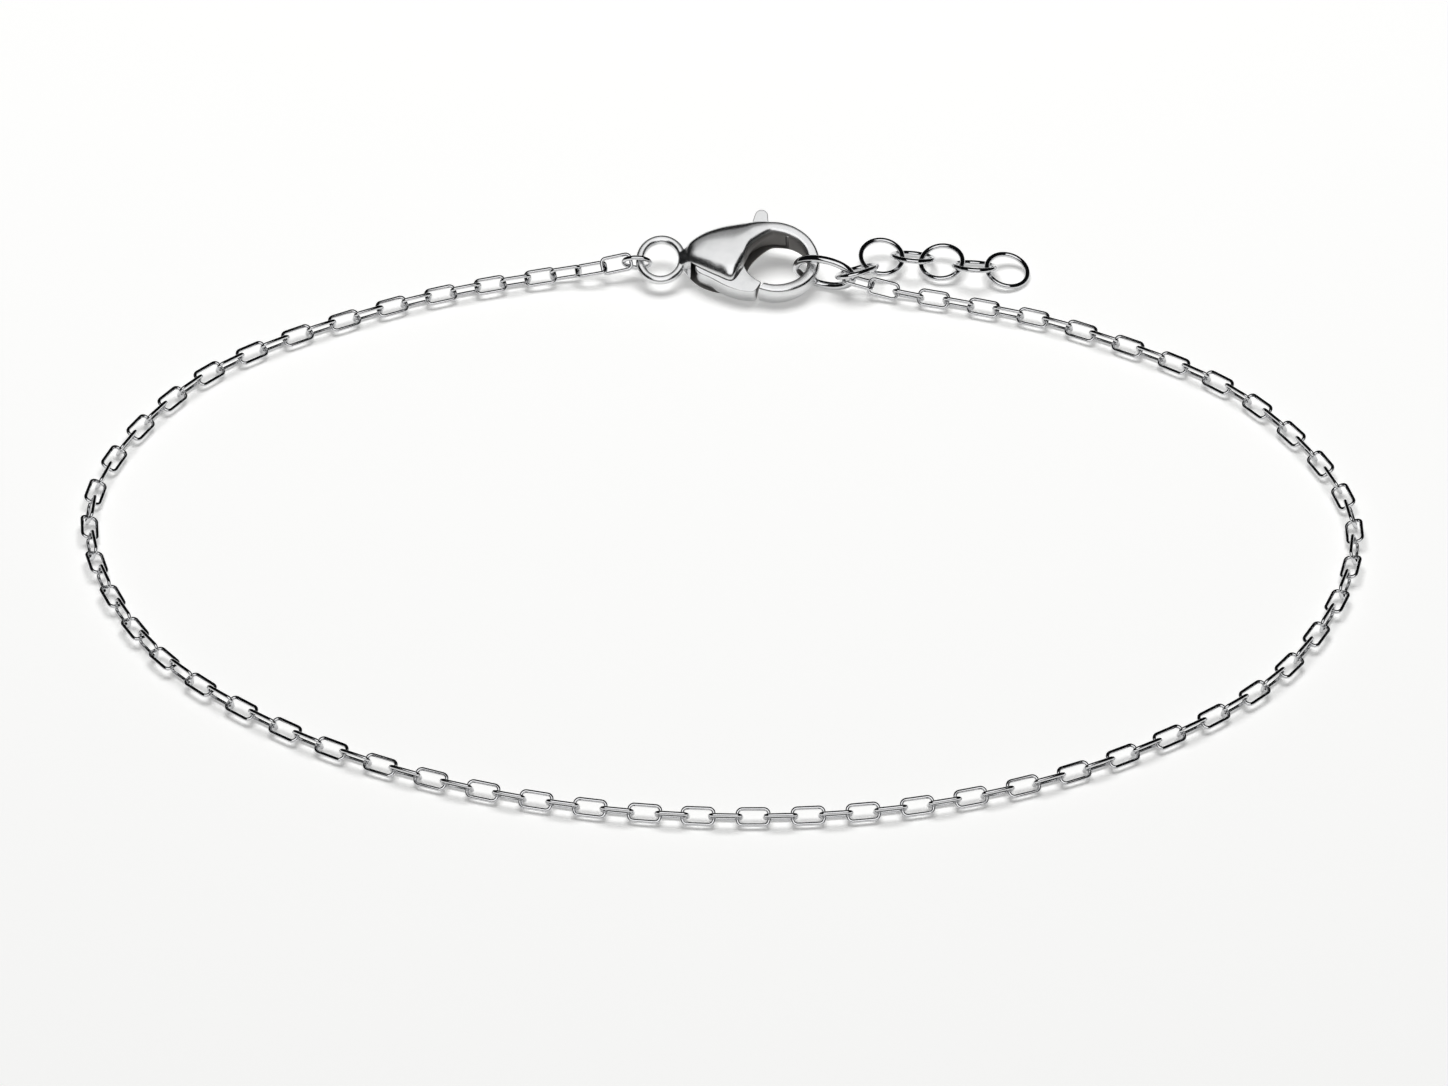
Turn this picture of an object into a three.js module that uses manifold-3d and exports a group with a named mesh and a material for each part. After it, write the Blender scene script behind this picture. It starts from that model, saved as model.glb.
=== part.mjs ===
// A fine silver chain bracelet laid in an oval: two half chains, a lobster clasp and a tail of rings.
// Millimetres, +Z up, resting on z = 0, the clasp at the back (+Y).
import * as THREE from "three";
import { mergeVertices } from "three/addons/utils/BufferGeometryUtils.js";
import Module from "manifold-3d";

const wasm = await Module();
wasm.setup();

// The middle of the bracelet's box in the coordinates of the tables below; it becomes the origin.
const BOX_MIDDLE = new THREE.Vector2(-0.13, 2.1);

// Chain: rectangular wire links, each at a right angle to the next.
const LINK = {
  count: 115,
  inRightHalf: 58,
  width: 1.0,
  wire: 0.2,
  corner: 0.2,
  bow: 0.02,
  bite: 0.021,
  halfGap: 0.06,
  wireSides: 5,
};

// The way the chain lies, from the connector ring round the front to the jump ring. Each row: x and y of
// the middle line, its rise above lying on the table, and the lean in degrees of the broad links outward.
const LAY = [
  [7.19, 20.17, 0.35, -78],
  [9.9, 19.5, 0.08, -34],
  [13.82, 18.5, 0, -26],
  [18.77, 16.72, 0, -26],
  [27.76, 10.86, 0, -25],
  [32.52, 1.3, 0, -25],
  [28.83, -9.0, 0, 12],
  [20.4, -15.58, 0, 27],
  [10.12, -19.27, 0, 33],
  [-0.99, -20.09, 0, 33],
  [-11.98, -18.3, 0, 32],
  [-21.84, -14.05, 0, 22],
  [-29.58, -7.19, 0, -5],
  [-32.78, 2.67, 0, -26],
  [-28.01, 12.35, 0, -24],
  [-18.25, 18.36, 0, -24],
  [-10.04, 20.9, 0.05, -22],
  [-7.2, 21.32, 0.25, -2],
  [-5.76, 21.5, 0.6, 43],
];
const LAY_MEASURE_STEPS = 4000;

// Loose rings. Each row: name, length and width of the wire's middle line, wire, then where the middle of
// the ring is and how the ring is turned (plan heading), tilted (far side up) and pitched (right end up).
const RINGS = [
  ["jump_ring", 1.45, 0.92, 0.24, -4.66, 21.52, 1.1, -3, 104, 0],
  ["connector_ring", 3.15, 1.8, 0.42, 5.37, 20.7, 1.11, -17, 92, 0],
  ["extension_ring_1", 2.7, 2.0, 0.28, 7.12, 20.93, 1.0, 57, -29, -22],
  ["extension_ring_2", 2.24, 2.24, 0.28, 8.46, 22.38, 0.76, -9, 13, -7],
  ["extension_ring_3", 2.24, 2.24, 0.28, 10.14, 22.4, 0.72, -12, -30, 1],
  ["extension_ring_4", 2.24, 2.24, 0.28, 11.68, 22.12, 0.62, -10, 12, 4],
  ["extension_ring_5", 2.24, 2.24, 0.28, 13.42, 21.64, 0.72, -10, -30, 2],
  ["extension_ring_6", 2.24, 2.24, 0.28, 15.18, 21.6, 0.48, -9, 7, -13],
];
const RING_CORNERS = 12;
const RING_WIRE_SIDES = 6;

// Clasp, in its own frame: u from the middle of the eye to the nose, v to the far side, w up.
const CLASP_PLACE = { x: -3.37, y: 21.67, z: 1.16, turn: -2.9, tilt: 14, pitch: 0 };
const EYE = { length: 2.25, width: 2.65, wire: 0.48, corners: 16, wireSides: 8 };

// Body sections from the tail to the brow: far edge u and v, near edge u and v, half height.
const BODY = [
  [0.98, 0.28, 0.98, -0.28, 0.22],
  [1.22, 0.5, 1.22, -0.36, 0.42],
  [1.55, 1.02, 1.52, -0.56, 0.72],
  [2.2, 1.52, 2.15, -0.88, 0.96],
  [3.1, 1.93, 3.05, -1.32, 1.11],
  [3.95, 2.16, 3.9, -1.6, 1.17],
  [4.45, 2.25, 4.38, -0.85, 1.14],
  [4.95, 2.32, 4.85, 0.35, 1.06],
];

// The hook goes on round an oval from the far side over the nose to its tip, and gets finer on the way.
// Each row of sections: angle on the oval in degrees, half width, half height.
const HOOK_OVAL = { u: 6.12, v: -0.05, along: 2.06, across: 1.93 };
const HOOK = [
  [102, 0.48, 0.94],
  [84, 0.45, 0.86],
  [64, 0.42, 0.76],
  [42, 0.39, 0.64],
  [20, 0.36, 0.48],
  [0, 0.35, 0.42],
  [-22, 0.35, 0.45],
  [-46, 0.35, 0.52],
  [-70, 0.34, 0.6],
  [-92, 0.33, 0.64],
  [-114, 0.32, 0.66],
];
const BODY_CORNERS = 14;
const BODY_ROUNDNESS = 3;

// The slot for the lever, and the slanted cut that parts the tip of the hook from the gate.
const SLOT_HALF = 0.56;
const SLOT = [
  [1.62, -3.5],
  [4.95, -3.5],
  [4.95, -0.5],
  [6.2, 0.3],
  [6.78, 1.2],
  [6.9, 3.5],
  [2.95, 3.5],
  [2.95, 1.4],
  [2.0, 0.75],
  [1.62, 0.35],
];
const TIP_CUT_HALF = 1.5;
const TIP_CUT = [
  [4.7, -2.9],
  [4.84, -2.9],
  [5.84, -1.3],
  [4.7, -1.3],
];

// The lever: gate, heel and thumb tab in one, with rounded edges. It turns on a pin in blind sockets.
const PIVOT = { u: 2.55, v: -0.55 };
const LEVER = { half: 0.5, bevel: 0.08, bore: 0.33, curveSegments: 3 };
const GATE_OVAL = { along: 1.7, across: 1.62, tip: -112, leg: 72 };
const TAB_TIP = { u: 5.4, v: 3.05, radius: 0.38, lean: -10 };
const LEVER_LEG = [
  [6.68, 1.8],
  [5.75, 1.95],
];
const LEVER_BACK = [
  [4.68, 1.95],
  [3.7, 0.95],
  [2.7, 0.5],
  [2.02, 0.08],
  [1.84, -0.5],
  [1.98, -1.0],
  [2.7, -1.4],
  [3.59, -1.91],
  [4.4, -2.18],
  [5.155, -2.22],
];
const PIN = { radius: 0.25, half: 0.72, socketRadius: 0.31, socketHalf: 0.76, sides: 16 };

// The underside of the clasp is levelled at the table, where the bracelet's flat resting face is.
const TABLE_CUT = { across: 30, deep: 4 };

const SILVER = { color: 0xd6d8db, metalness: 1, roughness: 0.14 };

// A solid for joining and cutting, from a closed geometry.
function solidOf(geometry) {
  const bare = geometry.clone();
  bare.deleteAttribute("normal");
  bare.deleteAttribute("uv");
  const merged = mergeVertices(bare);
  const mesh = new wasm.Mesh({
    numProp: 3,
    vertProperties: merged.attributes.position.array,
    triVerts: new Uint32Array(merged.index.array),
  });
  return new wasm.Manifold(mesh);
}

function geometryOf(solid) {
  const mesh = solid.getMesh();
  const geometry = new THREE.BufferGeometry();
  geometry.setAttribute("position", new THREE.BufferAttribute(new Float32Array(mesh.vertProperties), 3));
  geometry.setIndex(new THREE.BufferAttribute(new Uint32Array(mesh.triVerts), 1));
  return geometry;
}

// A skin over equal rings of points: round on itself when closed, else with a flat lid at each end.
function skin(rings, closed) {
  const sides = rings[0].length;
  const points = rings.flat();
  const index = [];
  const lastRing = closed ? rings.length : rings.length - 1;
  for (let i = 0; i < lastRing; i++) {
    const next = (i + 1) % rings.length;
    for (let j = 0; j < sides; j++) {
      const beside = (j + 1) % sides;
      const corners = [i * sides + j, next * sides + j, next * sides + beside, i * sides + beside];
      index.push(corners[0], corners[2], corners[1], corners[0], corners[3], corners[2]);
    }
  }
  if (!closed) {
    const end = (rings.length - 1) * sides;
    for (let j = 1; j < sides - 1; j++) {
      index.push(0, j + 1, j);
      index.push(end, end + j, end + j + 1);
    }
  }
  const geometry = new THREE.BufferGeometry().setFromPoints(points);
  geometry.setIndex(index);
  return geometry;
}

// The corner radius of a wire with flat sides that has as much metal as a round wire.
function wireCorner(wire, sides) {
  const step = (2 * Math.PI) / sides;
  return (wire / 2) * Math.sqrt(step / Math.sin(step));
}

// A wire bent round a flat outline and closed; one ridge of the wire runs along the inside.
function closedWire(outline, wire, sides) {
  const radius = wireCorner(wire, sides);
  const count = outline.length;
  const rings = outline.map((corner, i) => {
    const before = outline[(i + count - 1) % count];
    const after = outline[(i + 1) % count];
    const into = corner.clone().sub(before).normalize();
    const out = after.clone().sub(corner).normalize();
    const mitre = new THREE.Vector2(into.y + out.y, -into.x - out.x).divideScalar(1 + into.dot(out));
    return Array.from({ length: sides }, (_, j) => {
      const angle = Math.PI - (2 * Math.PI * j) / sides;
      const flat = corner.clone().addScaledVector(mitre, radius * Math.cos(angle));
      return new THREE.Vector3(flat.x, flat.y, radius * Math.sin(angle));
    });
  });
  return skin(rings, true);
}

// An oval outline, turned half a step so that flats and not corners face along its length.
function ovalOutline(length, width, corners) {
  return Array.from({ length: corners }, (_, i) => {
    const angle = (2 * Math.PI * (i + 0.5)) / corners;
    return new THREE.Vector2((length / 2) * Math.cos(angle), (width / 2) * Math.sin(angle));
  });
}

// The outline of one link: straight ends, cut corners, and long sides that bow out a little.
function linkOutline(pitch) {
  const halfLength = (pitch - LINK.bite) / 2 + wireCorner(LINK.wire, LINK.wireSides);
  const halfWidth = (LINK.width - LINK.wire) / 2;
  const quarter = [
    [halfLength, halfWidth - LINK.corner],
    [halfLength - LINK.corner, halfWidth],
  ];
  const half = [...quarter, [0, halfWidth + LINK.bow], ...quarter.map(([x, y]) => [-x, y]).reverse()];
  const whole = [...half, ...half.map(([x, y]) => [-x, -y])];
  return whole.map(([x, y]) => new THREE.Vector2(x, y));
}

// Where each link sits: middle and lean, at equal steps along the lay. The last link of the right half
// and the first of the left stand a little closer, which leaves a gap between the halves.
function linkSpots() {
  const plan = new THREE.CatmullRomCurve3(LAY.map(([x, y]) => new THREE.Vector3(x, y, 0)));
  plan.arcLengthDivisions = LAY_MEASURE_STEPS;
  const length = plan.getLength();
  const slack = LINK.bite + LINK.halfGap;
  const pitch = (length + slack) / (LINK.count - 1);
  const halfWidth = (LINK.width - LINK.wire) / 2 + LINK.bow;
  const spots = Array.from({ length: LINK.count }, (_, i) => {
    const along = i * pitch - (i < LINK.inRightHalf ? 0 : slack);
    const t = plan.getUtoTmapping(along / length);
    const row = Math.min(Math.floor(t * (LAY.length - 1)), LAY.length - 2);
    const blend = THREE.MathUtils.smoothstep(t * (LAY.length - 1) - row, 0, 1);
    const rise = THREE.MathUtils.lerp(LAY[row][2], LAY[row + 1][2], blend);
    const lean = THREE.MathUtils.degToRad(THREE.MathUtils.lerp(LAY[row][3], LAY[row + 1][3], blend));
    const reach = halfWidth * Math.max(Math.abs(Math.cos(lean)), Math.abs(Math.sin(lean)));
    const middle = plan.getPoint(t);
    middle.z = reach + wireCorner(LINK.wire, LINK.wireSides) + rise;
    return { middle, lean };
  });
  return { spots, pitch };
}

// The matrix of link i: x along the chain, y across the link. Odd links are the broad ones.
function linkMatrix(spots, i) {
  const { middle, lean } = spots[i];
  const before = spots[Math.max(i - 1, 0)].middle;
  const after = spots[Math.min(i + 1, spots.length - 1)].middle;
  const along = after.clone().sub(before).normalize();
  const outward = new THREE.Vector3(0, 0, 1).cross(along).normalize();
  const up = along.clone().cross(outward);
  const facing = up.clone().multiplyScalar(Math.cos(lean)).addScaledVector(outward, Math.sin(lean));
  const isBroad = i % 2 === 1;
  const across = isBroad ? facing.clone().cross(along) : facing;
  const normal = along.clone().cross(across);
  return new THREE.Matrix4().makeBasis(along, across, normal).setPosition(middle);
}

function chainHalf(lay, first, end) {
  const link = closedWire(linkOutline(lay.pitch), LINK.wire, LINK.wireSides);
  let chain = null;
  for (let i = first; i < end; i++) {
    const next = solidOf(link.clone().applyMatrix4(linkMatrix(lay.spots, i)));
    chain = chain ? chain.add(next) : next;
  }
  return geometryOf(chain);
}

// A matrix from a place and three angles in degrees: tilt about x, then pitch about y, then turn about z.
function placeMatrix({ x, y, z, turn, tilt, pitch }) {
  const [across, up, plan] = [tilt, -pitch, turn].map(THREE.MathUtils.degToRad);
  const rotation = new THREE.Quaternion().setFromEuler(new THREE.Euler(across, up, plan, "ZYX"));
  return new THREE.Matrix4().compose(new THREE.Vector3(x, y, z), rotation, new THREE.Vector3(1, 1, 1));
}

function looseRing([, length, width, wire, x, y, z, turn, tilt, pitch]) {
  const ring = closedWire(ovalOutline(length, width, RING_CORNERS), wire, RING_WIRE_SIDES);
  return ring.applyMatrix4(placeMatrix({ x, y, z, turn, tilt, pitch }));
}

// One rounded section of the clasp body between its far and near edges.
function bodySection(far, near, halfHeight) {
  const middle = far.clone().add(near).divideScalar(2);
  const half = far.clone().sub(near).divideScalar(2);
  const swell = (value) => Math.sign(value) * Math.abs(value) ** (2 / BODY_ROUNDNESS);
  return Array.from({ length: BODY_CORNERS }, (_, j) => {
    const angle = (2 * Math.PI * (j + 0.5)) / BODY_CORNERS;
    const flat = middle.clone().addScaledVector(half, swell(Math.cos(angle)));
    return new THREE.Vector3(flat.x, flat.y, halfHeight * swell(Math.sin(angle)));
  });
}

function hookSection([degrees, halfWidth, halfHeight]) {
  const angle = THREE.MathUtils.degToRad(degrees);
  const { u, v, along, across } = HOOK_OVAL;
  const spot = new THREE.Vector2(u + along * Math.cos(angle), v + across * Math.sin(angle));
  const outward = new THREE.Vector2(Math.cos(angle) / along, Math.sin(angle) / across).normalize();
  const far = spot.clone().addScaledVector(outward, halfWidth);
  const near = spot.clone().addScaledVector(outward, -halfWidth);
  return bodySection(far, near, halfHeight);
}

// A flat shape made into a plate of the given half height about w = 0.
function plate(shape, half, options = {}) {
  const bevel = options.bevel ?? 0;
  const geometry = new THREE.ExtrudeGeometry(shape, {
    depth: 2 * (half - bevel),
    curveSegments: options.curveSegments ?? 1,
    bevelEnabled: bevel > 0,
    bevelThickness: bevel,
    bevelSize: bevel,
    bevelOffset: -bevel,
    bevelSegments: 1,
  });
  return geometry.translate(0, 0, bevel - half);
}

function shapeOf(rows) {
  return new THREE.Shape(rows.map(([u, v]) => new THREE.Vector2(u, v)));
}

function pinGeometry(radius, half) {
  const pin = new THREE.CylinderGeometry(radius, radius, 2 * half, PIN.sides);
  return pin.rotateX(Math.PI / 2).translate(PIVOT.u, PIVOT.v, 0);
}

function claspBody() {
  const sections = [
    ...BODY.map(([farU, farV, nearU, nearV, halfHeight]) =>
      bodySection(new THREE.Vector2(farU, farV), new THREE.Vector2(nearU, nearV), halfHeight),
    ),
    ...HOOK.map(hookSection),
  ];
  const eye = closedWire(ovalOutline(EYE.length, EYE.width, EYE.corners), EYE.wire, EYE.wireSides);
  const whole = solidOf(skin(sections, false)).add(solidOf(eye));
  const cut = whole
    .subtract(solidOf(plate(shapeOf(SLOT), SLOT_HALF)))
    .subtract(solidOf(plate(shapeOf(TIP_CUT), TIP_CUT_HALF)))
    .subtract(solidOf(pinGeometry(PIN.socketRadius, PIN.socketHalf)));
  const placed = geometryOf(cut).applyMatrix4(placeMatrix(CLASP_PLACE));
  const underTable = new THREE.BoxGeometry(TABLE_CUT.across, TABLE_CUT.across, TABLE_CUT.deep);
  underTable.translate(CLASP_PLACE.x, CLASP_PLACE.y, -TABLE_CUT.deep / 2);
  return geometryOf(solidOf(placed).subtract(solidOf(underTable)));
}

function claspLever() {
  const { u, v } = HOOK_OVAL;
  const [tip, leg, lean] = [GATE_OVAL.tip, GATE_OVAL.leg, TAB_TIP.lean].map(THREE.MathUtils.degToRad);
  const shape = new THREE.Shape();
  shape.absellipse(u, v, GATE_OVAL.along, GATE_OVAL.across, tip, leg, true);
  LEVER_LEG.forEach(([legU, legV]) => shape.lineTo(legU, legV));
  shape.absarc(TAB_TIP.u, TAB_TIP.v, TAB_TIP.radius, lean, lean + Math.PI, false);
  LEVER_BACK.forEach(([backU, backV]) => shape.lineTo(backU, backV));
  shape.closePath();
  const bore = pinGeometry(LEVER.bore, 2 * LEVER.half);
  const lever = solidOf(plate(shape, LEVER.half, LEVER)).subtract(solidOf(bore));
  return geometryOf(lever).applyMatrix4(placeMatrix(CLASP_PLACE));
}

const bracelet = new THREE.Group();

function addNode(name, geometry) {
  geometry.translate(-BOX_MIDDLE.x, -BOX_MIDDLE.y, 0);
  const mesh = new THREE.Mesh(geometry, new THREE.MeshStandardMaterial(SILVER));
  mesh.name = name;
  bracelet.add(mesh);
}

const lay = linkSpots();
addNode("chain_right", chainHalf(lay, 0, LINK.inRightHalf));
addNode("chain_left", chainHalf(lay, LINK.inRightHalf, LINK.count));
addNode("clasp_body", claspBody());
addNode("clasp_lever", claspLever());
addNode("clasp_pin", pinGeometry(PIN.radius, PIN.half).applyMatrix4(placeMatrix(CLASP_PLACE)));
RINGS.forEach((ring) => addNode(ring[0], looseRing(ring)));

export default bracelet;
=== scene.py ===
# %% [markdown]
# # A fine silver chain bracelet
# The bracelet lies in an oval on a white table, with its lobster clasp at the far side and a short tail of
# rings to its right. Every piece is bright metal, so its shape shows only in what it reflects: the smooth
# curve of each wire and edge matters more here than colour.
#
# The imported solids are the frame: they give places, sizes and the clasp's hinge. Each one is now replaced
# by a finer surface, computed as whole arrays of points, in the same place.

import bpy
import mathutils
import numpy as np
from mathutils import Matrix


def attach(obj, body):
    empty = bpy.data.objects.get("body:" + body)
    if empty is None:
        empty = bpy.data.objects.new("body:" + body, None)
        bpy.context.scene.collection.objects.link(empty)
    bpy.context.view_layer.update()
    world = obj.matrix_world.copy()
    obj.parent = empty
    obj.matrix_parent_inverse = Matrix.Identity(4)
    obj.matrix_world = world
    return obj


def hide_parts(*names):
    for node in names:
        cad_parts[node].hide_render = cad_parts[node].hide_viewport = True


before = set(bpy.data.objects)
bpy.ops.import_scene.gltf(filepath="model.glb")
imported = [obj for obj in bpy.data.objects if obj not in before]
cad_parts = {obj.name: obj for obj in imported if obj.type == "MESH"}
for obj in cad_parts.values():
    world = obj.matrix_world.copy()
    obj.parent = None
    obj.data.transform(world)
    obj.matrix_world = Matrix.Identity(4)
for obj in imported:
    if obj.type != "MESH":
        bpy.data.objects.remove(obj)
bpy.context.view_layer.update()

MM = 0.001


# %% [markdown]
# ## Tools for surfaces
# All sizes are in millimetres, measured on the photo with the loop taken as 17 cm round. The tables below
# are laid out from the middle of the photo's view; BOX_MIDDLE is where the frame's origin falls in them.
#
# A wire piece is a circle carried along a closed line: one parameter runs along the line and one round the
# wire, and the points make a grid that closes on itself both ways. The cast clasp is a rounded section
# carried from its tail to the tip of its hook, which is a grid that closes one way only and needs two lids.

# %% Directions, grids and meshes
BOX_MIDDLE = np.array([-0.13, 2.1, 0.0])


def unit(vectors):
    """The same vectors with length 1."""
    return vectors / np.linalg.norm(vectors, axis=-1, keepdims=True)


def directions(angles):
    """Unit vectors in the plane: cosine and sine of angles in radians."""
    return np.stack([np.cos(angles), np.sin(angles)], axis=-1)


def turned(turn, tilt, pitch):
    """Rotation matrix: tilt about x, then pitch about y, then turn about z, all in degrees."""
    a, b, c = np.radians([tilt, -pitch, turn])
    about_x = np.array([[1, 0, 0], [0, np.cos(a), -np.sin(a)], [0, np.sin(a), np.cos(a)]])
    about_y = np.array([[np.cos(b), 0, np.sin(b)], [0, 1, 0], [-np.sin(b), 0, np.cos(b)]])
    about_z = np.array([[np.cos(c), -np.sin(c), 0], [np.sin(c), np.cos(c), 0], [0, 0, 1]])
    return about_z @ about_y @ about_x


def grid_faces(rows, columns, close_rows):
    """Four-cornered faces of a grid whose columns close; rows close on the first row if close_rows."""
    i = np.arange(rows if close_rows else rows - 1)[:, None]
    j = np.arange(columns)[None, :]
    next_i = (i + 1) % rows
    next_j = (j + 1) % columns
    corners = [i * columns + j, next_i * columns + j, next_i * columns + next_j, i * columns + next_j]
    return np.stack(corners, axis=-1).reshape(-1, 4)


def lidded_faces(rows, columns):
    """Faces of a grid whose columns close, with one face over its first row and one over its last."""
    first = np.arange(columns)
    last = first + (rows - 1) * columns
    return grid_faces(rows, columns, False).tolist() + [first.tolist(), last[::-1].tolist()]


def add_mesh(name, points, faces):
    """A smooth-shaded object from points in millimetres (table coordinates) and lists of corner numbers."""
    mesh = bpy.data.meshes.new(name)
    metres = (np.asarray(points).reshape(-1, 3) - BOX_MIDDLE) * MM
    mesh.from_pydata(metres.tolist(), [], [list(map(int, face)) for face in faces])
    mesh.shade_smooth()
    made = bpy.data.objects.new(name, mesh)
    bpy.context.scene.collection.objects.link(made)
    return made


# %% Wires and curves
def wire_round(line, outward, radius, sides):
    """Grid of a round wire on a flat line: line + radius (cos q outward + sin q z), q once round it."""
    q = np.linspace(0, 2 * np.pi, sides, endpoint=False)
    flat = line[:, None, :] + radius * np.cos(q)[None, :, None] * outward[:, None, :]
    height = np.broadcast_to(radius * np.sin(q)[None, :, None], flat.shape[:2] + (1,))
    return np.concatenate([flat, height], axis=-1)


def oval_line(length, width, steps):
    """An oval (half length cos t, half width sin t) and its outward unit normals."""
    way = directions(np.linspace(0, 2 * np.pi, steps, endpoint=False))
    return np.array([length / 2, width / 2]) * way, unit(np.array([width, length]) * way)


def running_length(points):
    """Distance along a line from its first point to each of its points."""
    return np.concatenate([[0], np.cumsum(np.linalg.norm(np.diff(points, axis=0), axis=1))])


def smooth_through(stations, steps):
    """A curve through rows of numbers: on each span a cubic whose end slopes follow the neighbouring rows,
    spaced by the square root of the distance between rows. Gives rows and their running row number."""
    padded = np.vstack([2 * stations[0] - stations[1], stations, 2 * stations[-1] - stations[-2]])
    gap = np.sqrt(np.linalg.norm(np.diff(padded, axis=0), axis=1))[:, None]
    slope = np.diff(padded, axis=0) / gap
    wide = (padded[2:] - padded[:-2]) / (gap[:-1] + gap[1:])
    tangent = slope[:-1] - wide + slope[1:]
    start, end = stations[:-1, None], stations[1:, None]
    leave = (tangent[:-1] * gap[1:-1])[:, None]
    arrive = (tangent[1:] * gap[1:-1])[:, None]
    f = np.linspace(0, 1, steps, endpoint=False)[None, :, None]
    bend = (2 * f**3 - 3 * f**2 + 1) * start + (f**3 - 2 * f**2 + f) * leave
    bend = bend + (3 * f**2 - 2 * f**3) * end + (f**3 - f**2) * arrive
    rows = np.vstack([bend.reshape(-1, stations.shape[1]), stations[-1:]])
    return rows, np.linspace(0, len(stations) - 1, len(rows))


# %% [markdown]
# ## Chain
# The links are drawn wire bent to long rectangles with round corners, closed with solder and tumbled
# bright. Each stands at a right angle to the next, and the whole chain leans over a little where it lies,
# so that every second link looks broad to the camera and the others narrow.
#
# One link is modelled once and set at every spot along the lay by a table of frames: along the chain,
# across the link, and out of its face. Instances of an object could do this too, but here each half has to
# be one piece, as its solid is.

# %% Sizes and lay of the chain
LINK_COUNT = 115
LINKS_IN_RIGHT_HALF = 58
LINK_WIDTH = 1.0
LINK_WIRE = 0.2
LINK_CORNER = 0.24
LINK_BOW = 0.02
LINK_WIRE_SIDES = 14
CORNER_STEPS = 7
LAY_STEPS = 400

# How much closer two links stand where the halves meet, and how high the middle of a resting wire is.
HALF_CHAIN_SLACK = 0.081
REST_RADIUS = 0.115

# x and y of the chain's middle line, its rise above the table, and the lean of the broad links in degrees.
LAY = np.array([
    [7.19, 20.17, 0.35, -78],
    [9.9, 19.5, 0.08, -34],
    [13.82, 18.5, 0, -26],
    [18.77, 16.72, 0, -26],
    [27.76, 10.86, 0, -25],
    [32.52, 1.3, 0, -25],
    [28.83, -9.0, 0, 12],
    [20.4, -15.58, 0, 27],
    [10.12, -19.27, 0, 33],
    [-0.99, -20.09, 0, 33],
    [-11.98, -18.3, 0, 32],
    [-21.84, -14.05, 0, 22],
    [-29.58, -7.19, 0, -5],
    [-32.78, 2.67, 0, -26],
    [-28.01, 12.35, 0, -24],
    [-18.25, 18.36, 0, -24],
    [-10.04, 20.9, 0.05, -22],
    [-7.2, 21.32, 0.25, -2],
    [-5.76, 21.5, 0.6, 43],
])
RISE_COLUMN, LEAN_COLUMN = 2, 3
print(len(LAY), "rows in the lay of the chain")


# %% Where the links sit
def between_rows(column, row, share):
    """Values of a column of the lay at a share of the way from each row to the next."""
    return LAY[row, column] * (1 - share) + LAY[row + 1, column] * share


def link_spots():
    """Middles and lean of all links at equal steps along the lay. The height is the reach of the leaning
    link down from its middle, plus the height of a resting wire, plus the rise."""
    plan, row_number = smooth_through(LAY[:, :2], LAY_STEPS)
    run = running_length(plan)
    pitch = (run[-1] + HALF_CHAIN_SLACK) / (LINK_COUNT - 1)
    number = np.arange(LINK_COUNT)
    along = number * pitch - HALF_CHAIN_SLACK * (number >= LINKS_IN_RIGHT_HALF)
    at = np.interp(along, run, row_number)
    row = np.minimum(at.astype(int), len(LAY) - 2)
    share = (at - row) ** 2 * (3 - 2 * (at - row))
    rise = between_rows(RISE_COLUMN, row, share)
    lean = np.radians(between_rows(LEAN_COLUMN, row, share))
    half_width = (LINK_WIDTH - LINK_WIRE) / 2 + LINK_BOW
    reach = half_width * np.maximum(np.abs(np.cos(lean)), np.abs(np.sin(lean)))
    x = np.interp(at, row_number, plan[:, 0])
    y = np.interp(at, row_number, plan[:, 1])
    return np.stack([x, y, reach + REST_RADIUS + rise], axis=-1), lean, pitch


def link_frames(middles, lean):
    """For each link a matrix whose rows point along the chain, across the link and out of its face. Every
    second link is broad: it faces the way of the lean, and the others stand on edge to it."""
    before = np.vstack([middles[:1], middles[:-1]])
    after = np.vstack([middles[1:], middles[-1:]])
    along = unit(after - before)
    outward = unit(np.cross([0, 0, 1], along))
    up = np.cross(along, outward)
    facing = up * np.cos(lean)[:, None] + outward * np.sin(lean)[:, None]
    broad = np.arange(len(middles))[:, None] % 2 == 1
    across = np.where(broad, np.cross(facing, along), facing)
    return np.stack([along, across, np.cross(along, across)], axis=1)


link_middles, link_lean, link_pitch = link_spots()
link_turns = link_frames(link_middles, link_lean)
print(f"{LINK_COUNT} links, {link_pitch:.3f} mm apart")


# %% One link, repeated
def link_line():
    """A rectangle with round corners whose long sides bow out by a cosine, and its outward normals."""
    half = np.array([link_pitch / 2 + LINK_WIRE / 2, (LINK_WIDTH - LINK_WIRE) / 2])
    corner_angles = np.arange(4)[:, None] * np.pi / 2
    normals = directions(corner_angles + np.linspace(0, np.pi / 2, CORNER_STEPS))
    corner_signs = np.sign(directions(corner_angles + np.pi / 4))
    line = (corner_signs * (half - LINK_CORNER) + LINK_CORNER * normals).reshape(-1, 2)
    bow = LINK_BOW * np.cos(np.pi / 2 * line[:, 0] / half[0])
    line[:, 1] += np.sign(line[:, 1]) * bow
    return line, normals.reshape(-1, 2)


def chain_half(name, part):
    """The links of one half as one object: the wire grid of a link, turned and set at each spot."""
    line, normals = link_line()
    one = wire_round(line, normals, LINK_WIRE / 2, LINK_WIRE_SIDES).reshape(-1, 3)
    points = one[None] @ link_turns[part] + link_middles[part][:, None, :]
    faces = grid_faces(len(line), LINK_WIRE_SIDES, True)
    starts = np.arange(len(points))[:, None, None] * len(one)
    return add_mesh(name, points, (faces[None] + starts).reshape(-1, 4))


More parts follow.
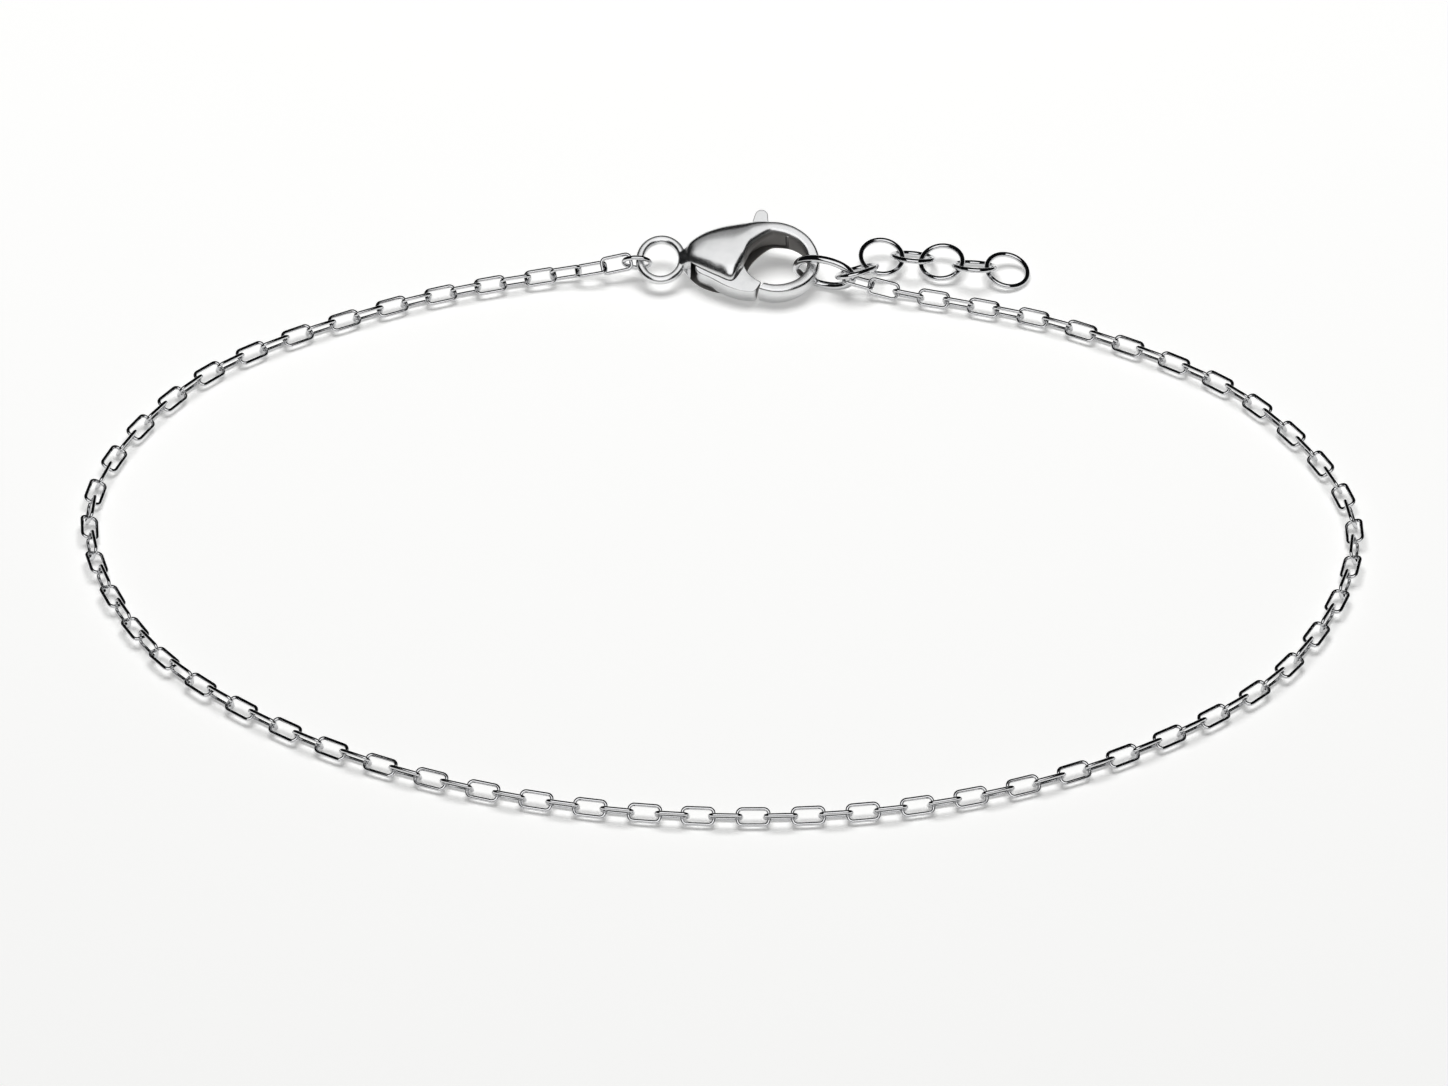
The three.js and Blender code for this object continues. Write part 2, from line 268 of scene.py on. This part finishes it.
chain_right = chain_half("silver_chain_right", slice(0, LINKS_IN_RIGHT_HALF))
chain_left = chain_half("silver_chain_left", slice(LINKS_IN_RIGHT_HALF, LINK_COUNT))
for half in (chain_right, chain_left):
    print(half.name, "has", len(half.data.polygons), "faces")

# %% [markdown]
# ## Rings
# The jump ring, the connector and the tail are rings of round wire. Each is an oval with a circle carried
# round it, set at the place and angle it has in the photo: the tail's rings lie flat and lean by turns,
# because each has to pass through the next. A ready-made torus could be stretched to an oval, but that
# would flatten its wire; carried along the oval, the circle stays round.

# %% Rings
RING_STEPS = 96
RING_WIRE_SIDES = 24

# Name, length and width of the wire's middle line, wire, middle x y z, then turn, tilt and pitch in
# degrees.
RINGS = [
    ("jump_ring", 1.45, 0.92, 0.24, (-4.66, 21.52, 1.1), (-3, 104, 0)),
    ("connector_ring", 3.15, 1.8, 0.42, (5.37, 20.7, 1.11), (-17, 92, 0)),
    ("extension_ring_1", 2.7, 2.0, 0.28, (7.12, 20.93, 1.0), (57, -29, -22)),
    ("extension_ring_2", 2.24, 2.24, 0.28, (8.46, 22.38, 0.76), (-9, 13, -7)),
    ("extension_ring_3", 2.24, 2.24, 0.28, (10.14, 22.4, 0.72), (-12, -30, 1)),
    ("extension_ring_4", 2.24, 2.24, 0.28, (11.68, 22.12, 0.62), (-10, 12, 4)),
    ("extension_ring_5", 2.24, 2.24, 0.28, (13.42, 21.64, 0.72), (-10, -30, 2)),
    ("extension_ring_6", 2.24, 2.24, 0.28, (15.18, 21.6, 0.48), (-9, 7, -13)),
]

rings = {}
for ring, length, width, wire, middle, angles in RINGS:
    flat_ring = wire_round(*oval_line(length, width, RING_STEPS), wire / 2, RING_WIRE_SIDES)
    ring_points = flat_ring.reshape(-1, 3) @ turned(*angles).T + np.array(middle)
    rings[ring] = add_mesh(f"silver_{ring}", ring_points, grid_faces(RING_STEPS, RING_WIRE_SIDES, True))
print(len(rings), "rings, wires", sorted({row[3] for row in RINGS}), "mm")

# %% [markdown]
# ## Clasp body
# A lobster clasp is cast in one piece with its eye: a domed body that narrows to the tail, and a hook that
# bends round from the far side to the nose and back to meet the gate. A slot is milled through it from the
# near side for the lever, and the lower cheek stands out a little further than the upper one.
#
# It could be sculpted from a block. Here the dome is a rounded section (a circle pulled towards a
# rectangle) carried along a table of sections, because each section can be measured on the photo.
# The eye is joined to it, and the slot, the slanted cut at the tip and the level underside are cut away.

# %% Sections of the clasp body
# The clasp has a frame of its own: u from the eye to the nose, v to the far side, w up.
CLASP_MIDDLE = np.array([-3.37, 21.67, 1.16])
CLASP_TURN = turned(turn=-2.9, tilt=14, pitch=0)
BODY_ROUNDNESS = 3.0
SECTION_STEPS = 14
SECTION_SIDES = 72

# Sections of the body: far edge u and v, near edge u and v, half height, lip of the lower cheek.
BODY = np.array([
    [0.98, 0.52, 0.98, -0.46, 0.26, 0],
    [1.22, 0.64, 1.22, -0.5, 0.44, 0.06],
    [1.55, 1.02, 1.52, -0.56, 0.72, 0.34],
    [2.2, 1.52, 2.15, -0.88, 0.96, 0.52],
    [3.1, 1.93, 3.05, -1.32, 1.11, 0.4],
    [3.95, 2.16, 3.9, -1.6, 1.17, 0.1],
    [4.45, 2.25, 4.38, -0.85, 1.14, 0],
    [4.95, 2.32, 4.85, 0.35, 1.06, 0],
])

# Sections of the hook: angle on its oval in degrees, half width, half height.
HOOK_MIDDLE = np.array([6.12, -0.05])
HOOK_RADII = np.array([2.06, 1.93])
HOOK = np.array([
    [102, 0.48, 0.94],
    [84, 0.45, 0.86],
    [64, 0.42, 0.76],
    [42, 0.39, 0.64],
    [20, 0.36, 0.48],
    [0, 0.35, 0.42],
    [-22, 0.35, 0.45],
    [-46, 0.35, 0.52],
    [-70, 0.34, 0.6],
    [-92, 0.33, 0.64],
    [-114, 0.32, 0.66],
])


def on_clasp(points):
    """Points from the clasp's own frame into table coordinates."""
    return np.asarray(points).reshape(-1, 3) @ CLASP_TURN.T + CLASP_MIDDLE


def body_stations():
    """The rows of the body, then the rows of the hook as far edge, near edge, half height and no lip."""
    way = directions(np.radians(HOOK[:, 0]))
    spot = HOOK_MIDDLE + HOOK_RADII * way
    reach = HOOK[:, 1:2] * unit(way / HOOK_RADII)
    no_lip = np.zeros((len(HOOK), 1))
    return np.vstack([BODY, np.hstack([spot + reach, spot - reach, HOOK[:, 2:3], no_lip])])


def swept_body(stations):
    """Grid: middle + half span S(cos q) across + half height S(sin q) up, where S(x) is x with its size
    raised to 2 / roundness. In the near lower quarter the half span is longer by the lip."""
    q = np.linspace(0, 2 * np.pi, SECTION_SIDES, endpoint=False)
    out, up = (np.sign(f) * np.abs(f) ** (2 / BODY_ROUNDNESS) for f in (np.cos(q), np.sin(q)))
    far, near, height, lip = stations[:, 0:2], stations[:, 2:4], stations[:, 4], stations[:, 5]
    half = (far - near) / 2
    in_lip = ((out < 0) & (up < 0))[None, :, None]
    span = half[:, None] + in_lip * (lip[:, None] * unit(half))[:, None]
    flat = ((far + near) / 2)[:, None] + span * out[None, :, None]
    return np.concatenate([flat, (height[:, None] * up[None])[..., None]], axis=-1)


stations, _ = smooth_through(body_stations(), SECTION_STEPS)
body_faces = [face[::-1] for face in lidded_faces(len(stations), SECTION_SIDES)]
clasp_body = add_mesh("silver_clasp_body", on_clasp(swept_body(stations)), body_faces)
print(len(stations), "sections of", SECTION_SIDES, "points in the clasp body")

# %% [markdown]
# The cuts are made with solid tools. A tool's faces carry a second finish number, and the walls that it
# cuts take that number over: later they get a duller surface, because no polishing wheel reaches them,
# and a darker tone, which is painted shade.

# %% Join the eye and make the cuts
EYE_LENGTH, EYE_WIDTH, EYE_WIRE = 2.25, 2.65, 0.48
EYE_STEPS = 96
EYE_SIDES = 32

# The slot and the slanted cut at the tip: half height, then corners in u and v.
SLOT_HALF = 0.56
SLOT = [(1.62, -3.5), (4.95, -3.5), (4.95, -0.5), (6.2, 0.3), (6.78, 1.2), (6.9, 3.5),
        (2.95, 3.5), (2.95, 1.4), (2.0, 0.75), (1.62, 0.35)]
TIP_CUT_HALF = 1.5
TIP_CUT = [(4.7, -2.9), (4.84, -2.9), (5.84, -1.3), (4.7, -1.3)]

TABLE_CUT = 12.0
CUT_FINISH = 1
SHARP_ANGLE = np.radians(32)


def under_table(points):
    """Points moved so that a plate as thick as TABLE_CUT each way has its top at the table."""
    return points + np.array([CLASP_MIDDLE[0], CLASP_MIDDLE[1], -TABLE_CUT])


def two_finishes(piece):
    """Room for the polished finish and the cut one; the real material comes later."""
    for _ in range(CUT_FINISH + 1):
        piece.data.materials.append(None)


def prism(name, outline, half, place):
    """A cutting tool: a flat outline raised to a plate from -half to half, put in place by a function."""
    corners = np.array(outline)
    count = len(corners)
    high = np.column_stack([corners, np.full(count, half)])
    low = np.column_stack([corners, np.full(count, -half)])
    tool = add_mesh(name, place(np.vstack([high, low])), lidded_faces(2, count))
    two_finishes(tool)
    tool.data.polygons.foreach_set("material_index", [CUT_FINISH] * len(tool.data.polygons))
    return tool


def carve(target, tool, operation):
    """Joins or cuts target with tool, keeps the resulting mesh and removes the tool."""
    step = target.modifiers.new(operation.lower(), "BOOLEAN")
    step.operation = operation
    step.solver = "EXACT"
    step.object = tool
    shown = target.evaluated_get(bpy.context.evaluated_depsgraph_get())
    mesh = bpy.data.meshes.new_from_object(shown)
    target.modifiers.clear()
    target.data = mesh
    bpy.data.objects.remove(tool)


two_finishes(clasp_body)
eye_grid = wire_round(*oval_line(EYE_LENGTH, EYE_WIDTH, EYE_STEPS), EYE_WIRE / 2, EYE_SIDES)
eye = add_mesh("eye", on_clasp(eye_grid), grid_faces(EYE_STEPS, EYE_SIDES, True))
table_square = TABLE_CUT * np.array([(-1, -1), (1, -1), (1, 1), (-1, 1)])
carve(clasp_body, eye, "UNION")
carve(clasp_body, prism("slot", SLOT, SLOT_HALF, on_clasp), "DIFFERENCE")
carve(clasp_body, prism("tip_cut", TIP_CUT, TIP_CUT_HALF, on_clasp), "DIFFERENCE")
carve(clasp_body, prism("table_cut", table_square, TABLE_CUT, under_table), "DIFFERENCE")
clasp_body.data.shade_smooth()
clasp_body.data.set_sharp_from_angle(angle=SHARP_ANGLE)
print(len(clasp_body.data.polygons), "faces in the clasp body")

# %% Mark the walls that no wheel reaches, for a rougher surface and painted shade
# How squarely a wall faces the middle of the hook, as a cosine, and how far out on the oval it may be.
FACING_FROM, FACING_TO = 0.6, 0.85
INSIDE_HOOK = 1.1


def face_values(mesh, name, width, kind=float):
    """One property of all faces as an array with a row for each face."""
    values = np.empty(len(mesh.polygons) * width, dtype=kind)
    mesh.polygons.foreach_get(name, values)
    return values.reshape(-1, width)


def mark_unpolished_and_painted_shade(piece):
    """Face attribute of the inner walls: 1 on cut walls, and rising to 1 inside the hook on walls that face
    its middle. The faces it covers are made rougher and painted darker, which is painted shade. The facing
    is the dot product of the normal with the way to the hook's middle."""
    mesh = piece.data
    places = (face_values(mesh, "center", 3) / MM + BOX_MIDDLE - CLASP_MIDDLE) @ CLASP_TURN
    normals = face_values(mesh, "normal", 3) @ CLASP_TURN
    to_middle = HOOK_MIDDLE - places[:, :2]
    inside = np.linalg.norm(to_middle / HOOK_RADII, axis=1) < INSIDE_HOOK
    facing = np.sum(normals[:, :2] * unit(to_middle), axis=1)
    share = np.clip((facing - FACING_FROM) / (FACING_TO - FACING_FROM), 0, 1) * inside
    is_cut = face_values(mesh, "material_index", 1, np.int32)[:, 0] == CUT_FINISH
    share = np.where(is_cut, 1.0, share).astype(np.float32)
    mesh.attributes.new("unpolished_and_painted_shade", "FLOAT", "FACE").data.foreach_set("value", share)
    mesh.polygons.foreach_set("material_index", np.zeros(len(share), dtype=np.int32))
    return int(np.sum(share > 0))


print(mark_unpolished_and_painted_shade(clasp_body), "faces of the body left unpolished")

# %% [markdown]
# ## Clasp lever and pin
# The lever is stamped from thick sheet: the gate that closes the hook, the heel inside the body and the
# thumb tab that sticks out at the far side, bent up a little. Its edges are rubbed round. The surface
# follows the outline with one parameter and rolls over the rounded edge with the other; flat faces close
# the top and bottom.

# %% Outline of the lever
# The gate's inner oval and its end angles in degrees, the corners of the leg, the round tab, the back.
GATE_RADII = np.array([1.7, 1.62])
GATE_TIP, GATE_LEG = -112, 72
LEVER_LEG = [(6.68, 1.8), (5.75, 1.95)]
TAB_MIDDLE = np.array([5.26, 2.8])
TAB_RADIUS, TAB_LEAN = 0.36, -16
LEVER_BACK = np.array([(4.68, 1.95), (3.7, 0.95), (2.7, 0.5), (2.02, 0.08), (1.84, -0.5), (1.98, -1.0),
                       (2.7, -1.4), (3.59, -1.91), (4.4, -2.18), (5.155, -2.22)])
ARC_STEPS = 40
BACK_STEPS = 8
OUTLINE_STEP = 0.05
RUBBING_PASSES = 10


def arc(middle, radii, start, end):
    """Points on an oval from a start angle to an end angle in degrees."""
    return middle + radii * directions(np.radians(np.linspace(start, end, ARC_STEPS)))


def lever_outline():
    """The gate's inner oval, the leg, the round tab and the back as one closed run of evenly spaced points,
    each then drawn towards its neighbours a few times, which rubs the corners round."""
    gate = arc(HOOK_MIDDLE, GATE_RADII, 360 + GATE_TIP, GATE_LEG)
    tab = arc(TAB_MIDDLE, TAB_RADIUS, TAB_LEAN, TAB_LEAN + 180)
    back, _ = smooth_through(LEVER_BACK, BACK_STEPS)
    corners = np.vstack([gate, np.array(LEVER_LEG), tab, back, gate[:1]])
    run = running_length(corners)
    at = np.arange(0, run[-1], OUTLINE_STEP)
    outline = np.stack([np.interp(at, run, corners[:, 0]), np.interp(at, run, corners[:, 1])], axis=-1)
    for _ in range(RUBBING_PASSES):
        outline = (np.roll(outline, 1, axis=0) + 2 * outline + np.roll(outline, -1, axis=0)) / 4
    return outline


lever_edge_line = lever_outline()
print("lever outline of", len(lever_edge_line), "points")

# %% Lever and pin
LEVER_HALF, LEVER_EDGE = 0.5, 0.07
TAB_FOOT, TAB_SLOPE = 2.35, 0.1
EDGE_STEPS = 6
PIVOT = np.array([2.55, -0.55])
PIN_RADIUS, PIN_HALF, PIN_EDGE = 0.25, 0.72, 0.05
PIN_STEPS = 32


def rounded_plate(outline, half, edge):
    """Grid: outline - edge (1 - cos q) outward, height half - edge (1 - sin q), then the same below."""
    step = np.roll(outline, -1, axis=0) - np.roll(outline, 1, axis=0)
    outward = unit(np.stack([step[:, 1], -step[:, 0]], axis=-1))
    q = np.radians(np.linspace(90, 0, EDGE_STEPS))
    inset = edge * (1 - np.cos(q))
    drop = half - edge * (1 - np.sin(q))
    inset = np.concatenate([inset, inset[::-1]])
    height = np.concatenate([drop, -drop[::-1]])
    flat = outline[None] - inset[:, None, None] * outward[None]
    return np.concatenate([flat, np.broadcast_to(height[:, None, None], flat.shape[:2] + (1,))], axis=-1)


def bent_tab(plate):
    """The plate with its thumb tab bent up: height grows by the bend's slope for every mm past its foot."""
    bent = plate.copy()
    bent[..., 2] += TAB_SLOPE * np.maximum(plate[..., 1] - TAB_FOOT, 0)
    return bent


def add_plate(name, plate):
    """A clasp piece from the grid of a rounded plate, with its top and bottom faces."""
    made = add_mesh(name, on_clasp(plate), lidded_faces(*plate.shape[:2]))
    made.data.set_sharp_from_angle(angle=SHARP_ANGLE)
    return made


lever_plate = bent_tab(rounded_plate(lever_edge_line, LEVER_HALF, LEVER_EDGE))
clasp_lever = add_plate("silver_clasp_lever", lever_plate)
pin_line, _ = oval_line(2 * PIN_RADIUS, 2 * PIN_RADIUS, PIN_STEPS)
clasp_pin = add_plate("silver_clasp_pin", rounded_plate(PIVOT + pin_line, PIN_HALF, PIN_EDGE))
print(mark_unpolished_and_painted_shade(clasp_lever), "faces of the lever left unpolished")

# %% [markdown]
# ## Silver
# Plated sterling silver has hardly any colour of its own: a neutral light grey. Tumbled wire is bright but
# carries a fine grain from the tumbling steel; the cast clasp is polished on a wheel, which leaves a softer
# shine. Roughness and a very low bump carry that. The real marks are too fine to show, so they are drawn
# as coarse as a pixel or two of the picture. The tone shifts a little, as it does where the metal has been
# handled. The inner walls of the clasp stay as they were cast, dull and rough, and they are also painted
# darker, which is painted shade in the hook and the slot: the material reads the attribute that was set on
# those faces.

# %% Nodes for materials
def linear(hex_colour):
    """sRGB hex text to the linear colour that shaders use."""
    part = np.array([int(hex_colour[i:i + 2], 16) for i in (1, 3, 5)]) / 255
    low, high = part / 12.92, ((part + 0.055) / 1.055) ** 2.4
    return (*np.where(part <= 0.04045, low, high).tolist(), 1.0)


def add_node(tree, kind, settings=(), links=()):
    """Adds one node; settings are (socket or attribute, value), links are (own input, node, output)."""
    node = tree.nodes.new(kind)
    for key, value in settings:
        if key in node.inputs:
            node.inputs[key].default_value = value
        else:
            setattr(node, key, value)
    for own, other, output in links:
        tree.links.new(other.outputs[output], node.inputs[own])
    return node


# %% Silver
# The darker tone of the inner walls is partly the dull as-cast metal and partly painted shade in the hook
# and the slot.
AS_CAST_AND_PAINTED_SHADE_TONE = "#7A7876"
AS_CAST_ROUGH = 0.55
MARKS_PER_DRIFT = 4
MARK_DEPTH = 0.01


def polished_silver(name, bright, dull, mark_mm, rough, bump):
    """Bright metal: the grain has marks of the given size and sets roughness and bump; the tone drifts
    over patches of a few marks. Faces marked as inner walls are duller, and darker as painted shade."""
    material = bpy.data.materials.new(name)
    material.use_nodes = True
    tree = material.node_tree
    shader = tree.nodes["Principled BSDF"]
    shader.inputs["Metallic"].default_value = 1.0
    place = add_node(tree, "ShaderNodeTexCoord")
    inner = add_node(tree, "ShaderNodeAttribute", [("attribute_name", "unpolished_and_painted_shade")])
    drift_scale = 1 / (mark_mm * MARKS_PER_DRIFT * MM)
    drift = add_node(tree, "ShaderNodeTexNoise", [("Scale", drift_scale), ("Detail", 3.0)],
                     [("Vector", place, "Object")])
    grain = add_node(tree, "ShaderNodeTexNoise", [("Scale", 1 / (mark_mm * MM)), ("Detail", 4.0)],
                     [("Vector", place, "Object")])
    tone = add_node(tree, "ShaderNodeMix",
                    [("data_type", "RGBA"), ("A", linear(dull)), ("B", linear(bright))],
                    [("Factor", drift, "Fac")])
    # Painted shade: where the attribute is set, the tone turns to the darker as-cast grey, standing in for
    # the shade inside the hook and the slot.
    finish = add_node(tree, "ShaderNodeMix", [("data_type", "RGBA"), ("B", linear(AS_CAST_AND_PAINTED_SHADE_TONE))],
                      [("Factor", inner, "Fac"), ("A", tone, "Result")])
    spread = add_node(tree, "ShaderNodeMapRange", [("To Min", rough[0]), ("To Max", rough[1])],
                      [("Value", grain, "Fac")])
    matt = add_node(tree, "ShaderNodeMapRange", [("To Max", AS_CAST_ROUGH)],
                    [("Value", inner, "Fac"), ("To Min", spread, "Result")])
    relief = add_node(tree, "ShaderNodeBump", [("Strength", bump), ("Distance", MARK_DEPTH * MM)],
                      [("Height", grain, "Fac")])
    tree.links.new(finish.outputs["Result"], shader.inputs["Base Color"])
    tree.links.new(matt.outputs["Result"], shader.inputs["Roughness"])
    tree.links.new(relief.outputs["Normal"], shader.inputs["Normal"])
    return material


chain_silver = polished_silver("sterling_wire_tumbled", "#DADADB", "#C8C9CB", 0.05, (0.04, 0.12), 0.10)
ring_silver = polished_silver("sterling_ring_wire_polished", "#D9D9DA", "#C7C8CA", 0.08, (0.04, 0.12), 0.08)
clasp_silver = polished_silver("sterling_cast_polished", "#E2E2E2", "#D4D5D6", 0.12, (0.2, 0.28), 0.08)
print("materials:", chain_silver.name, ring_silver.name, clasp_silver.name)

# %% [markdown]
# ## Put the pieces on the frame
# Each surface stands for one imported solid and moves with that solid's body. Only the lever has a body of
# its own, because it is the one piece that turns on a hinge; the rest keeps the shape in which it lies.

# %% Give each piece its body and finish, and hide the solid it stands for
PIECES = [
    (chain_right, "bracelet", "chain_right", "chain_silver", chain_silver),
    (chain_left, "bracelet", "chain_left", "chain_silver", chain_silver),
    (clasp_body, "bracelet", "clasp_body", "clasp_silver", clasp_silver),
    (clasp_lever, "lever", "clasp_lever", "clasp_silver", clasp_silver),
    (clasp_pin, "bracelet", "clasp_pin", "clasp_silver", clasp_silver),
] + [(piece, "bracelet", name, "ring_silver", ring_silver) for name, piece in rings.items()]

for piece, body, node, slot, material in PIECES:
    piece.data.materials.clear()
    piece.data.materials.append(material)
    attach(piece, body)
    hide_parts(node)
print(len(PIECES), "pieces placed")

# %% [markdown]
# ## Table
# The photo is a product shot on a white sheet with faint soft shadows. A matt acrylic sheet that glows a
# little, as if lit from below, keeps the ground white without washing the shadows out.

# %% Table
TABLE_SIZE = 1200.0
WHITE_SHEET = "#FBFBFA"
SHEET_GLOW = 0.3
SHEET_ROUGH = (0.55, 0.65)
SHEET_CLOUD = 90.0

table_corners = TABLE_SIZE / 2 * np.array([(-1, -1, 0), (1, -1, 0), (1, 1, 0), (-1, 1, 0)])
table = add_mesh("table", table_corners, [(0, 1, 2, 3)])
acrylic = bpy.data.materials.new("white_acrylic_sheet_matt")
acrylic.use_nodes = True
sheet_tree = acrylic.node_tree
sheet = sheet_tree.nodes["Principled BSDF"]
sheet.inputs["Base Color"].default_value = linear(WHITE_SHEET)
sheet.inputs["Emission Color"].default_value = linear(WHITE_SHEET)
sheet.inputs["Emission Strength"].default_value = SHEET_GLOW
where = add_node(sheet_tree, "ShaderNodeTexCoord")
cloud = add_node(sheet_tree, "ShaderNodeTexNoise", [("Scale", 1 / (SHEET_CLOUD * MM))],
                 [("Vector", where, "Object")])
patchy = add_node(sheet_tree, "ShaderNodeMapRange",
                  [("To Min", SHEET_ROUGH[0]), ("To Max", SHEET_ROUGH[1])],
                  [("Value", cloud, "Fac")])
sheet_tree.links.new(patchy.outputs["Result"], sheet.inputs["Roughness"])
table.data.materials.append(acrylic)
print("table of", TABLE_SIZE, "mm")

# %% [markdown]
# ## Light
# A wire shows the room as thin lines along it. One large soft box in front draws the white line in the
# middle of every wire, and the dark room behind draws the black line along its far edge. The dome of the
# clasp faces up, so two boxes over and behind it, linked to the clasp alone, give it its soft gradient. A
# last box lights only the table from above and behind, so the shadows fall towards the camera.

# %% Light
LOOK_AT = np.array([0.0, 0.0, 0.45])
ROOM_GREY = "#0E0F10"

# Name, middle x y z in mm, width, depth, power in watts, what it lights.
SOFT_BOXES = [
    ("front", (0, -317, 413), 560, 541, 1.33, "metal"),
    ("over the clasp", (0, 64, 320), 520, 241, 0.45, "clasp"),
    ("behind the clasp", (0, 270, 295), 520, 177, 0.1, "clasp"),
    ("table key", (0, 120, 380), 300, 220, 1.35, "table"),
]


def aim(thing, place):
    """Puts a camera or lamp at a place and points its -Z at the middle of the bracelet."""
    way = mathutils.Vector((LOOK_AT - np.array(place)).tolist())
    thing.location = ((np.array(place) - BOX_MIDDLE) * MM).tolist()
    thing.rotation_euler = way.to_track_quat("-Z", "Y").to_euler()


clasp_only = bpy.data.collections.new("clasp_only")
for piece in (clasp_body, clasp_lever, clasp_pin):
    clasp_only.objects.link(piece)

for name, place, width, depth, power, lit in SOFT_BOXES:
    lamp = bpy.data.lights.new(name, "AREA")
    lamp.shape = "RECTANGLE"
    lamp.size = width * MM
    lamp.size_y = depth * MM
    lamp.energy = power
    box = bpy.data.objects.new(name, lamp)
    bpy.context.scene.collection.objects.link(box)
    box.visible_glossy = lit != "table"
    box.visible_diffuse = lit == "table"
    if lit == "clasp":
        box.light_linking.receiver_collection = clasp_only
    aim(box, place)

room = bpy.data.worlds.new("room")
room.use_nodes = True
room.node_tree.nodes["Background"].inputs["Color"].default_value = linear(ROOM_GREY)
bpy.context.scene.world = room
bpy.context.scene.view_settings.view_transform = "Standard"
print(len(SOFT_BOXES), "soft boxes")

# %% [markdown]
# ## Camera
# The camera looks down at 42.5 degrees from far off through a long lens, so that the far side of the oval
# is hardly smaller than the near side, as in the photo.

# %% Camera
CAMERA_ELEVATION = np.radians(42.5)
CAMERA_DISTANCE = 394.7
LENS = 190.4
FARTHEST_SEEN = 10000.0

lens = bpy.data.cameras.new("camera")
lens.lens = LENS
lens.clip_end = FARTHEST_SEEN * MM
camera = bpy.data.objects.new("camera", lens)
bpy.context.scene.collection.objects.link(camera)
view_way = np.array([0, -np.cos(CAMERA_ELEVATION), np.sin(CAMERA_ELEVATION)])
aim(camera, LOOK_AT + CAMERA_DISTANCE * view_way)
bpy.context.scene.camera = camera
print("camera at, mm:", np.round(np.array(camera.location) / MM, 1).tolist())
